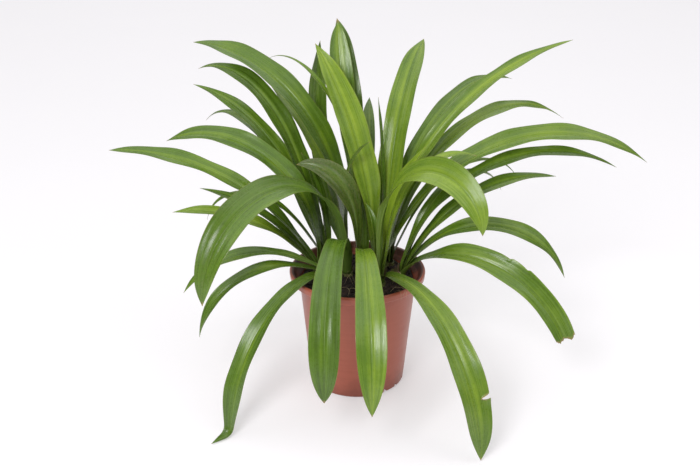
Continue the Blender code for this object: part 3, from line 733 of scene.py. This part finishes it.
def leaf_material(colours):
    """Deep to yellow green along the tone, with fine parallel veins, lengthwise bands, a pale midrib, a thin
    dark margin, dry tips, a duller underside, and painted shade that darkens the feet to a deeper green
    towards the soil."""
    made, tree, shader, spot = new_material("strap_leaf")
    where = place(tree, "ShaderNodeAttribute", attribute_name="leaf_place").outputs["Vector"]
    parts = place(tree, "ShaderNodeSeparateXYZ", {0: where}).outputs
    across, share = calc(tree, "ABSOLUTE", parts[0]), parts[2]
    tone = place(tree, "ShaderNodeAttribute", attribute_name="leaf_tone").outputs
    tones = place(tree, "ShaderNodeSeparateColor", {0: tone["Color"]}).outputs
    light, dry, foot, under = tones[0], tones[1], tones[2], tone["Alpha"]
    lengthwise = stretched(tree, where, (1.0, 0.012, 0.0))
    streaks = noise(tree, lengthwise, 900.0, 3.0, 0.6)
    bands = noise(tree, lengthwise, 150.0, 1.0)
    mottle = patches(tree, spot, 28.0, 0.3, 0.7)
    values = {"Vector": where, "Scale": 224.0, "Distortion": 0.0}
    wave = place(tree, "ShaderNodeTexWave", values, bands_direction="X").outputs[1]
    within = ranged(tree, across, 0.0004, 0.0022, smooth=True)
    ridge = calc(tree, "MULTIPLY", within, ranged(tree, across, 0.0034, 0.0060, 1.0, 0.0, smooth=True))
    level = light
    for value, weight in ((streaks, 0.40), (bands, 0.34), (mottle["Mask"], 0.10)):
        level = summed(tree, level, (calc(tree, "SUBTRACT", value, 0.5), weight))
    ramp = place(tree, "ShaderNodeValToRGB", {0: summed(tree, level, (ridge, 0.10))})
    stops = ramp.color_ramp.elements
    stops[0].color, stops[1].color = (*colours.deep, 1.0), (*colours.yellow, 1.0)
    for position, colour in ((0.38, colours.green), (0.68, colours.bright)):
        stops.new(position).color = (*colour, 1.0)
    rib = ranged(tree, across, 0.0002, 0.0009, 0.16, 0.0, smooth=True)
    colour = mixed(tree, rib, ramp.outputs[0], colours.midrib)
    # Painted shade: the feet darkened to a deeper green towards the soil, where the clump shades them
    colour = mixed(tree, calc(tree, "MULTIPLY", foot, 0.60), colour, colours.foot)
    colour = mixed(tree, calc(tree, "MULTIPLY", under, 0.35), colour, colours.underside)
    margin = ranged(tree, share, 0.955, 0.995, 0.0, 0.45, smooth=True)
    colour = mixed(tree, margin, colour, colours.margin)
    values = {"Colour": colour, "Tint": colours.dry, "Mask": dry, "Vector": spot, "Scale": 500.0}
    dried = use_group(tree, "Broken tint", values)
    rough = summed(tree, 0.15, (streaks, 0.16), (mottle["Fine"], 0.10), (under, 0.12), (dried["Mask"], 0.3))
    height = summed(tree, calc(tree, "MULTIPLY", streaks, 0.9), (wave, 0.35))
    surface(tree, shader, dried["Colour"], rough, height, 0.35, 0.0004)
    values = {
        "Specular IOR Level": 0.50,
        "Subsurface Weight": 0.12,
        "Subsurface Radius": (0.8, 1.0, 0.25),
        "Subsurface Scale": 0.0012,
    }
    feed(tree, shader, values)
    return made


def pot_material(colours):
    """Terracotta-coloured moulded plastic: fine flow lines round the wall, run between a lit and a shaded
    copy of its colour as painted light and shade, dull scuffs, darker towards the foot, and painted shade
    inside the lip, where the radius is less than that of a cone within the wall."""
    made, tree, shader, spot = new_material("terracotta_plastic")
    height = place(tree, "ShaderNodeSeparateXYZ", {0: spot}).outputs[2]
    lines = noise(tree, stretched(tree, spot, (1.0, 1.0, 14.0)), 22.0, 3.0)
    scuffs = patches(tree, spot, 34.0, 0.46, 0.72)
    # Painted light and shade: the flow lines run between a lit and a shaded copy of the pot's colour
    colour = mixed(tree, lines, colours.shaded, colours.lit)
    colour = mixed(tree, calc(tree, "MULTIPLY", scuffs["Mask"], 0.16), colour, colours.scuffed)
    level = stretched(tree, spot, (1.0, 1.0, 0.0))
    radius = place(tree, "ShaderNodeVectorMath", {0: level}, operation="LENGTH").outputs[1]
    inside = calc(tree, "SUBTRACT", calc(tree, "MULTIPLY_ADD", height, *INSIDE_CONE), radius)
    above_soil = ranged(tree, height, 0.136, 0.139, 0.0, 0.85)
    inside = calc(tree, "MULTIPLY", ranged(tree, inside, 0.0, 0.0006), above_soil)
    # Painted shade on the inner wall above the soil, and a darker tint towards the foot
    lip_shade_and_foot_mask = calc(tree, "ADD", ranged(tree, height, 0.0, 0.035, 0.35, 0.0), inside)
    values = {"Colour": colour, "Tint": colours.lip_shade_and_foot_dark, "Mask": lip_shade_and_foot_mask, "Vector": spot, "Scale": 60.0}
    lip_shade_and_foot_dark = use_group(tree, "Broken tint", values)
    rough = summed(tree, 0.27, (scuffs["Fine"], 0.14), (scuffs["Mask"], 0.10))
    relief = calc(tree, "ADD", calc(tree, "MULTIPLY", lines, 0.6), scuffs["Fine"])
    surface(tree, shader, lip_shade_and_foot_dark["Colour"], rough, relief, 0.12, 0.0006)
    return made


def soil_material(colours):
    """Near-black peat with browner crumbs and pale fibres."""
    made, tree, shader, spot = new_material("potting_soil")
    clods = patches(tree, spot, 90.0, 0.42, 0.66)
    colour = mixed(tree, clods["Mask"], colours.dark, colours.brown)
    fibre = noise(tree, stretched(tree, spot, (1.0, 5.0, 2.0)), 420.0, 2.0)
    colour = mixed(tree, ranged(tree, fibre, 0.66, 0.74, 0.0, 0.6), colour, colours.fibre)
    grain = noise(tree, spot, 900.0, 4.0, 0.7)
    surface(tree, shader, colour, summed(tree, 0.8, (clods["Fine"], 0.15)), grain, 0.8, 0.0008)
    return made


def neck_material(colours):
    """Bulb necks: live green below, papery brown scales in lengthwise strips."""
    made, tree, shader, spot = new_material("bulb_neck")
    strips = patches(tree, stretched(tree, spot, (1.0, 1.0, 0.15)), 260.0, 0.4, 0.62)
    fine = strips["Fine"]
    colour = mixed(tree, strips["Mask"], colours.neck, colours.scale)
    colour = mixed(tree, ranged(tree, fine, 0.5, 0.8, 0.0, 0.5), colour, colours.dry_scale)
    surface(tree, shader, colour, summed(tree, 0.4, (fine, 0.3)), fine, 0.5, 0.0005)
    return made


def root_material(colours):
    """Dry root fibres and old leaf shreds: straw with darker joints."""
    made, tree, shader, spot = new_material("dry_root")
    joints = patches(tree, spot, 180.0, 0.42, 0.7)
    colour = mixed(tree, joints["Mask"], colours.straw, colours.fibre)
    surface(tree, shader, colour, summed(tree, 0.6, (joints["Fine"], 0.2)), joints["Fine"], 0.5, 0.0003)
    return made


# Settings that a user would change


def colour_setting(label, what, default):
    return bpy.props.FloatVectorProperty(
        name=label, description=what, default=default, min=0.0, max=1.0, size=3, subtype="COLOR"
    )


def number_setting(label, what, default, **kind):
    return bpy.props.FloatProperty(name=label, description=what, default=default, **kind)


def length_setting(label, what, default):
    return number_setting(label, what, default, unit="LENGTH", precision=5)


def count_setting(label, what, default, least=0):
    return bpy.props.IntProperty(name=label, description=what, default=default, min=least)


class LeafSettings(bpy.types.PropertyGroup):
    """Sizes and greens of the leaves."""

    row_spacing: length_setting("Row spacing", "Distance between rows of points along a leaf", 0.0034)
    columns: count_setting("Columns", "Points across a broad leaf", 27, 5)
    thickness: length_setting("Thickness", "Blade thickness beside the midrib", 0.0006)
    deep: colour_setting("Deep green", "Darkest leaf tone", (0.023, 0.051, 0.004))
    green: colour_setting("Green", "Usual leaf tone", (0.092, 0.173, 0.012))
    bright: colour_setting("Bright green", "Lit young leaf tone", (0.220, 0.324, 0.024))
    yellow: colour_setting("Yellow green", "Lightest leaf tone", (0.34, 0.41, 0.04))
    midrib: colour_setting("Midrib", "Pale line along the middle", (0.26, 0.36, 0.09))
    # Painted shade: a darker green laid over the leaf feet near the soil
    foot: colour_setting("Foot", "Sheathing leaf base", (0.074, 0.122, 0.013))
    underside: colour_setting("Underside", "Duller lower face", (0.085, 0.150, 0.028))
    margin: colour_setting("Margin", "Thin line along the edge", (0.22, 0.20, 0.06))
    dry: colour_setting("Dry tip", "Dried tip and torn edge", (0.34, 0.23, 0.10))


class PotSettings(bpy.types.PropertyGroup):
    """Grid and colours of the nursery pot."""

    steps: count_setting("Steps", "Points round the pot", 384, 48)
    # Painted light and shade: lit and shaded copies of the pot's colour, between which the flow lines run
    lit: colour_setting("Lit", "Lighter flow lines", (0.41, 0.104, 0.058))
    shaded: colour_setting("Shaded", "Darker flow lines", (0.34, 0.080, 0.045))
    scuffed: colour_setting("Scuffed", "Dull rubbed patches", (0.44, 0.140, 0.095))
    # Painted shade inside the lip, and a darker tint towards the foot
    lip_shade_and_foot_dark: colour_setting("Grime", "Soil stains inside the lip and near the foot", (0.052, 0.017, 0.012))


class SoilSettings(bpy.types.PropertyGroup):
    """Relief, crumbs and colours of the soil, bulb necks and roots."""

    relief: length_setting("Relief", "Height of the lumps", 0.0022)
    crumbs: count_setting("Crumbs", "Loose crumbs on the surface", 1500)
    seed: count_setting("Seed", "Which scatter of crumbs", 7)
    dark: colour_setting("Dark soil", "Damp peat", (0.012, 0.006, 0.005))
    brown: colour_setting("Brown soil", "Drier crumbs", (0.045, 0.022, 0.015))
    fibre: colour_setting("Fibre", "Pale fibres in the peat", (0.20, 0.13, 0.08))
    straw: colour_setting("Straw", "Dry roots", (0.46, 0.36, 0.22))
    neck: colour_setting("Neck", "Live neck of a bulb", (0.13, 0.16, 0.04))
    scale: colour_setting("Scale", "Papery outer scale", (0.085, 0.055, 0.025))
    dry_scale: colour_setting("Dry scale", "Torn papery edge", (0.20, 0.145, 0.08))


class StudioSettings(bpy.types.PropertyGroup):
    """Camera and light of the pale studio."""

    lens: number_setting("Lens", "Focal length on a 36 mm wide frame", 56.571, unit="CAMERA")
    camera_place: bpy.props.FloatVectorProperty(
        name="Camera place",
        description="Where the camera stands",
        default=(-0.00926, -1.24326, 0.74560),
        subtype="TRANSLATION",
    )
    camera_pitch: number_setting("Camera pitch", "Tilt below level", math.radians(23.7), subtype="ANGLE")
    sky: number_setting("Room light", "Strength of the even room light", 0.26)
    top: number_setting("Top light", "Power of the panel overhead in watts", 155.0)
    key: number_setting("Key light", "Power of the main softbox in watts", 22.0)
    fill: number_setting("Fill light", "Power of the second softbox in watts", 5.0)
    floor: colour_setting("Floor", "Pale seamless floor", (0.640, 0.628, 0.648))


# Pieces, each with the operator that makes it


class SPIDERLILY_OT_leaves(bpy.types.Operator):
    """Strap leaves, one closed blade for each"""

    bl_idname = "spiderlily.leaves"
    bl_label = "Leaves"

    def execute(self, context):
        settings = context.scene.spiderlily_leaf
        material = leaf_material(settings)
        for number, (name, leaf) in enumerate(LEAVES.items(), start=1):
            finish_piece(leaf_piece(name, leaf, number, settings), material, "leaf", name)
        return {"FINISHED"}


def neck_radius(shoot):
    """Radius of the outermost leaf base, and half a leaf and the neck's wall more."""
    outermost = max(leaf.place for leaf in LEAVES.values() if leaf.shoot == shoot)
    return base_radius(outermost) + LEAF_THICK / 2 + NECK_WALL


def bulb_piece(shoot, number):
    """A turned bulb whose neck carries on as a thin papery collar round the leaf bases.

    Its radius is fluted by a low cosine and noise. The collar's top edge rises and falls with noise, and it
    stands lower where an outer leaf leaves the neck.
    """
    neck = neck_radius(shoot)
    swell = neck + BULB_SWELL
    collar = NECK_TOP + COLLAR
    outline = [
        (0.0, NECK_TOP - BULB_DEPTH),
        (swell * 0.45, NECK_TOP - BULB_DEPTH),
        (swell, NECK_TOP - BULB_DEPTH * 0.74),
        (swell * 0.98, NECK_TOP - BULB_DEPTH * 0.42),
        (neck + 0.0006, NECK_TOP - BULB_DEPTH * 0.16),
        (neck, NECK_TOP - 0.0012),
        (neck + 0.0002, collar),
        (neck - 0.0002, collar),
        (neck - 0.0006, NECK_TOP),
        (CORE_RADIUS, NECK_TOP),
        (CORE_RADIUS * 0.8, NECK_TOP + CORE_TOP * 0.6),
        (0.0, NECK_TOP + CORE_TOP),
    ]
    profile = smooth_profile(rounded(outline, 0.004, 4), 0.0025)
    points, turn = turned_grid(profile, BULB_STEPS)
    radius, height = profile[:, 0][:, None], profile[:, 1][:, None]
    flute = FLUTE_DEPTH * np.cos(FLUTES * turn)[None, :]
    flute = flute + SCALES_UNEVEN * soft_noise(np.cos(turn) * 2, np.sin(turn) * 2, height * 60, number)
    points[:, :, :2] *= (1.0 + ease(radius / neck) * flute / neck)[:, :, None]
    open_side = np.zeros_like(turn)
    for leaf in LEAVES.values():
        if leaf.shoot == shoot and base_radius(leaf.place) > neck - OUTER_LEAF_WITHIN:
            away = np.abs(np.angle(np.exp(1j * (turn - math.radians(leaf.heading)))))
            open_side = np.maximum(open_side, 1.0 - ease((away - 1.0) / 0.7))
    above = ease((height - NECK_TOP) / (collar - NECK_TOP)) * (radius > neck * 0.9)
    ragged = COLLAR_RAGGED * layered_noise(np.cos(turn) * 3, np.sin(turn) * 3, number * 5.0, 3, 8)[None, :]
    points[:, :, 2] += above * (ragged * (1.0 - open_side) - COLLAR * COLLAR_LOWERED * open_side)
    points += [SHOOTS[shoot][0] / 1000, SHOOTS[shoot][1] / 1000, 0.0]
    return turned_piece(f"bulb_{shoot}_scales", points, 70)


class SPIDERLILY_OT_bulbs(bpy.types.Operator):
    """Bulbs with papery necks, one for each shoot"""

    bl_idname = "spiderlily.bulbs"
    bl_label = "Bulbs"

    def execute(self, context):
        material = neck_material(context.scene.spiderlily_soil)
        for number, shoot in enumerate(SHOOTS):
            finish_piece(bulb_piece(shoot, number), material, "bulb", f"bulb_{shoot}")
        return {"FINISHED"}


def pot_outline():
    """Up the outside from the centre of the underside, over the lip and down the inside."""
    return [
        (0.0, 0.0),
        (CENTRE_PAD, 0.0),
        (CENTRE_PAD + 0.0015, FOOT_RISE),
        (WALL_FOOT - FOOT_RING - 0.0015, FOOT_RISE),
        (WALL_FOOT - FOOT_RING, 0.0),
        (WALL_FOOT - 0.0012, 0.0),
        (WALL_FOOT, 0.0012),
        (WALL_FOOT + WALL_SLOPE * WALL_MIDDLE, WALL_MIDDLE),
        (WALL_TOP, BAND_FOOT - 0.002),
        (WALL_TOP + 0.0012, BAND_FOOT + 0.0004),
        (RIM_OUTER - 0.0022, BAND_FOOT),
        (RIM_OUTER - 0.0008, BAND_FOOT + 0.0012),
        (RIM_OUTER, POT_HEIGHT - 0.0022),
        (RIM_OUTER - 0.0009, POT_HEIGHT - 0.0004),
        (RIM_OUTER - 0.0026, POT_HEIGHT),
        (RIM_INNER + 0.0012, POT_HEIGHT - 0.0003),
        (RIM_INNER, POT_HEIGHT - 0.0014),
        (WALL_TOP + 0.0030, BAND_FOOT + 0.0032),
        (WALL_TOP - WALL, BAND_FOOT - 0.002),
        (WALL_FOOT - WALL + WALL_SLOPE * WALL_MIDDLE, WALL_MIDDLE),
        (WALL_FOOT - WALL + WALL_SLOPE * FLOOR, FLOOR + 0.0015),
        (WALL_FOOT - WALL - 0.0015, FLOOR),
        (0.0, FLOOR),
    ]


def notch(turn, centre, half):
    """One within half an arc of its centre, in degrees round the pot, and eased to nought at both ends."""
    away = np.abs((np.degrees(turn) - centre + 180.0) % 360.0 - 180.0)
    return ease((half - away) / NOTCH_EASE + 0.5)


def pot_piece(settings):
    """The pot's outline carried round, with its foot raised over three drainage arcs and nine narrow slots.

    The wall leans in and out by a fraction of a millimetre, as thin moulded plastic does.
    """
    profile = smooth_profile(rounded(pot_outline(), 0.0012, 4), 0.0030)
    points, turn = turned_grid(profile, settings.steps)
    radius, height = profile[:, 0][:, None], profile[:, 1][:, None]
    slot_half = math.degrees(SLOT_WIDTH / 2 / WALL_FOOT)
    lifted = np.zeros_like(turn)
    for centre in DRAIN_CENTRES:
        lifted = np.maximum(lifted, DRAIN_RISE * notch(turn, centre, DRAIN_ARC / 2))
        for side in (-1, 0, 1):
            slot = notch(turn, centre + side * (DRAIN_ARC / 2 - 1.0), slot_half)
            lifted = np.maximum(lifted, SLOT_HEIGHT * slot)
    rising = (np.arange(len(profile)) < np.argmax(profile[:, 1]))[:, None]
    outer = rising & (radius > WALL_FOOT - FOOT_RING - 0.001)
    points[:, :, 2] = np.where(outer, np.maximum(points[:, :, 2], lifted), points[:, :, 2])
    wall = ease(height / 0.02) * ease((0.150 - height) / 0.02)
    sway = WALL_SWAY * np.cos(3 * turn + 0.7)[None, :]
    sway = sway + WALL_UNEVEN * soft_noise(np.cos(turn) * 3, np.sin(turn) * 3, height * 30, 4)
    points[:, :, :2] *= (1.0 + wall * sway / np.maximum(radius, 0.02))[:, :, None]
    return turned_piece("pot_shell", points, 40)


class SPIDERLILY_OT_pot(bpy.types.Operator):
    """Tapered nursery pot with a turned lip and a drained foot"""

    bl_idname = "spiderlily.pot"
    bl_label = "Pot"

    def execute(self, context):
        settings = context.scene.spiderlily_pot
        finish_piece(pot_piece(settings), pot_material(settings), "pot_plastic", "pot")
        return {"FINISHED"}


def soil_height(x, y, relief):
    """Height of the soil: its level, plus broad and finer lumps from layered noise, lower at the wall."""
    lumps = relief * layered_noise(x * LUMPS_PER_METRE, y * LUMPS_PER_METRE, 0.5, 4, 7)
    return SOIL_TOP + lumps - SOIL_DIP * ease((np.hypot(x, y) - 0.060) / 0.010)


def soil_piece(settings):
    """The soil's filling: a turned outline whose top rows take the soil's height."""
    side = WALL_FOOT - WALL - SOIL_GAP
    rim = side + WALL_SLOPE * SOIL_SIDE
    outline = [
        (0.0, FLOOR + SOIL_GAP),
        (side - 0.0018, FLOOR + SOIL_GAP),
        (side + WALL_SLOPE * WALL_MIDDLE, WALL_MIDDLE),
        (rim, SOIL_SIDE),
    ]
    below = smooth_profile(outline, 0.008)
    above = np.stack([np.linspace(rim, 0.0, SOIL_ROWS), np.full(SOIL_ROWS, SOIL_TOP)], 1)
    points, _ = turned_grid(np.concatenate([below, above]), SOIL_STEPS)
    level = soil_height(points[:, :, 0], points[:, :, 1], settings.relief)
    points[len(below):, :, 2] = level[len(below):]
    points[-1, :, 2] = level[-1, 0]
    return turned_piece("soil_bed", points, 60)


def crumb_pieces(settings):
    """Loose crumbs on the soil: for each, one lump (a tip, two rings of six points, a tip) is stretched, has
    its points pulled in or out, and is turned and tipped, all at random."""
    pick = np.random.default_rng(settings.seed)
    count = settings.crumbs
    ring = np.linspace(0.0, math.tau, 6, endpoint=False)
    lower = np.stack([np.cos(ring), np.sin(ring), np.full(6, -0.35)], 1)
    upper = np.stack([0.8 * np.cos(ring + 0.5), 0.8 * np.sin(ring + 0.5), np.full(6, 0.4)], 1)
    body = np.concatenate([[[0.0, 0.0, -0.7]], lower, upper, [[0.0, 0.0, 0.75]]])
    low = 1 + np.arange(6)
    low_after = np.roll(low, -1)
    high, high_after = low + 6, low_after + 6
    sides = np.stack([low, low_after, high_after, high], -1)
    under = np.stack([np.zeros(6, int), low_after, low], -1)
    over = np.stack([np.full(6, 13), high, high_after], -1)
    size = CRUMB_SMALLEST + CRUMB_SPREAD * pick.random(count) ** 3
    stretch = 0.5 + pick.random((count, 1, 3))
    radius = CRUMB_REACH * np.sqrt(pick.random(count))
    angle = math.tau * pick.random(count)
    x, y = radius * np.cos(angle), radius * np.sin(angle)
    z = soil_height(x, y, settings.relief) + size * 0.25
    lump = body[None] * stretch * (0.75 + 0.5 * pick.random((count, len(body), 1)))
    turn = math.tau * pick.random((count, 1))
    tip = 0.9 * (pick.random((count, 1)) - 0.5)
    lx = lump[:, :, 0] * np.cos(turn) - lump[:, :, 1] * np.sin(turn)
    ly = lump[:, :, 0] * np.sin(turn) + lump[:, :, 1] * np.cos(turn)
    lz = lump[:, :, 2] * np.cos(tip) + lx * np.sin(tip)
    points = np.stack([lx, ly, lz], -1) * size[:, None, None] + np.stack([x, y, z], -1)[:, None]
    shift = (np.arange(count) * len(body))[:, None, None]
    quads = (sides + shift).reshape(-1, 4)
    triangles = (np.concatenate([under, over]) + shift).reshape(-1, 3)
    return mesh_piece("soil_crumbs", points.reshape(-1, 3), quads, triangles, 30)


class SPIDERLILY_OT_soil(bpy.types.Operator):
    """Potting soil with loose crumbs"""

    bl_idname = "spiderlily.soil"
    bl_label = "Soil"

    def execute(self, context):
        settings = context.scene.spiderlily_soil
        material = soil_material(settings)
        finish_piece(soil_piece(settings), material, "potting_soil", "soil")
        finish_piece(crumb_pieces(settings), material, "potting_soil")
        return {"FINISHED"}


# Dry root fibres and leaf shreds on the soil, as listed points in millimetres, with their thickness.
FIBRES = [
    ([(-12, -40, 141), (-8, -43, 145), (-2, -46, 146), (6, -48, 142), (12, -52, 140)], 0.45),
    ([(-22, -34, 141), (-14, -38, 144), (-10, -46, 143), (-12, -56, 141)], 0.40),
    ([(40, -44, 141), (46, -42, 146), (54, -44, 146), (60, -38, 141)], 0.45),
    ([(44, -46, 141), (47, -57, 149), (50, -66, 153.6), (51.5, -71, 151.5), (52, -73.5, 144)], 0.35),
    ([(52, -66, 141), (55, -65, 148), (57, -66, 153.6), (58.5, -68, 151), (58, -71, 146)], 0.30),
    ([(43, -24, 141), (46, -23, 150), (50, -22, 157), (54, -23, 154), (57, -26, 146), (58, -30, 141)], 0.45),
    ([(47, -22, 141), (49, -24, 148), (53, -25, 151), (51, -27, 158), (47, -28, 155)], 0.35),
    ([(-16, -23, 141), (-12, -25, 151), (-8, -27, 156), (-5, -27, 149), (-2, -28, 141)], 0.40),
    ([(-6, -24, 141), (-9, -26, 150), (-13, -27, 158), (-10, -28, 162)], 0.35),
    ([(-6, -54, 141), (4, -52, 143.5), (14, -46, 143), (20, -48, 140.5)], 0.35),
]


class SPIDERLILY_OT_roots(bpy.types.Operator):
    """Dry root fibres on the soil"""

    bl_idname = "spiderlily.roots"
    bl_label = "Root fibres"

    def execute(self, context):
        material = root_material(context.scene.spiderlily_soil)
        for number, (ends, width) in enumerate(FIBRES, start=1):
            path = spline(np.array(ends) / 1000, FIBRE_STEPS)
            swell = 1.0 + 0.3 * soft_noise(np.linspace(0, 9, FIBRE_STEPS), number, 0.0)
            radius = width / 2000 * swell * (1.0 - 0.6 * np.linspace(-1, 1, FIBRE_STEPS) ** 4)
            made = mesh_piece(f"root_fibre_{number}", *tube(path, radius, 7))
            finish_piece(made, material, "bulb")
        return {"FINISHED"}


class SPIDERLILY_OT_studio(bpy.types.Operator):
    """Pale floor, soft light and the camera"""

    bl_idname = "spiderlily.studio"
    bl_label = "Studio"

    def execute(self, context):
        settings = context.scene.spiderlily_studio
        add_camera(context.scene, settings)
        add_floor(settings)
        add_lights(context.scene, settings)
        context.scene.view_settings.view_transform = "Standard"
        context.scene.view_settings.look = "None"
        return {"FINISHED"}


def add_camera(scene, settings):
    """The camera as fitted to the pot's rim and foot in the photograph."""
    data = bpy.data.cameras.new("photo_camera")
    data.lens = settings.lens
    data.sensor_width = 36.0
    data.sensor_fit = "HORIZONTAL"
    data.clip_end = 50.0
    made = bpy.data.objects.new("photo_camera", data)
    made.location = settings.camera_place
    made.rotation_euler = (math.pi / 2 - settings.camera_pitch, 0.0, 0.0)
    scene.collection.objects.link(made)
    scene.camera = made


def add_floor(settings):
    """A level sheet, 16 m across, just under the pot."""
    half, low = 8.0, -0.0003
    corner = np.array([[-half, -half, low], [half, -half, low], [half, half, low], [-half, half, low]])
    floor = mesh_piece("floor", corner, [[0, 1, 2, 3]])
    made, tree, shader, spot = new_material("studio_floor")
    uneven = patches(tree, spot, 2.0, 0.2, 0.8)
    dim = [0.985 * c for c in settings.floor]
    values = {
        "Base Color": mixed(tree, uneven["Mask"], settings.floor, dim),
        "Roughness": 0.85,
        "Emission Color": (1.0, 0.985, 1.0),
        "Emission Strength": 0.34,
        "Specular IOR Level": 0.2,
    }
    feed(tree, shader, values)
    floor.data.materials.append(made)


def add_lights(scene, settings):
    """An even room, and square panels given as name, power, side, place and the point that each faces."""
    world = bpy.data.worlds.new("room")
    world.use_nodes = True
    values = {"Color": (1.0, 0.99, 1.0), "Strength": settings.sky}
    feed(world.node_tree, world.node_tree.nodes["Background"], values)
    scene.world = world
    for name, power, size, spot, aim in (
        ("top_panel", settings.top, 7.0, (0.0, 1.6, 3.2), (0.0, 1.599, 0.0)),
        ("key_softbox", settings.key, 0.6, (-0.5, -1.5, 1.3), (0.0, 0.0, 0.2)),
        ("fill_softbox", settings.fill, 1.2, (1.5, -0.7, 1.3), (0.0, 0.0, 0.2)),
    ):
        data = bpy.data.lights.new(name, "AREA")
        data.energy = power
        data.size = size
        made = bpy.data.objects.new(name, data)
        made.location = spot
        x, y, z = np.array(aim) - np.array(spot)
        made.rotation_euler = (math.atan2(math.hypot(x, y), -z), 0.0, math.atan2(y, x) - math.pi / 2)
        scene.collection.objects.link(made)


class VIEW3D_PT_spiderlily(bpy.types.Panel):
    """Buttons for each group of pieces"""

    bl_label = "Potted spider lily"
    bl_idname = "VIEW3D_PT_spiderlily"
    bl_space_type = "VIEW_3D"
    bl_region_type = "UI"
    bl_category = "Spider lily"

    def draw(self, context):
        for operator in OPERATORS:
            self.layout.operator(operator.bl_idname)


SETTINGS = {
    "spiderlily_leaf": LeafSettings,
    "spiderlily_pot": PotSettings,
    "spiderlily_soil": SoilSettings,
    "spiderlily_studio": StudioSettings,
}
OPERATORS = (
    SPIDERLILY_OT_studio,
    SPIDERLILY_OT_pot,
    SPIDERLILY_OT_soil,
    SPIDERLILY_OT_bulbs,
    SPIDERLILY_OT_roots,
    SPIDERLILY_OT_leaves,
)


def register():
    for kind in (*SETTINGS.values(), *OPERATORS, VIEW3D_PT_spiderlily):
        bpy.utils.register_class(kind)
    for name, kind in SETTINGS.items():
        setattr(bpy.types.Scene, name, bpy.props.PointerProperty(type=kind))


def unregister():
    for name in SETTINGS:
        delattr(bpy.types.Scene, name)
    for kind in reversed((*SETTINGS.values(), *OPERATORS, VIEW3D_PT_spiderlily)):
        bpy.utils.unregister_class(kind)


def main():
    register()
    patchy_group()
    tinted_group()
    bpy.ops.spiderlily.studio()
    bpy.ops.spiderlily.pot()
    bpy.ops.spiderlily.soil()
    bpy.ops.spiderlily.bulbs()
    bpy.ops.spiderlily.roots()
    bpy.ops.spiderlily.leaves()


if __name__ == "__main__":
    main()
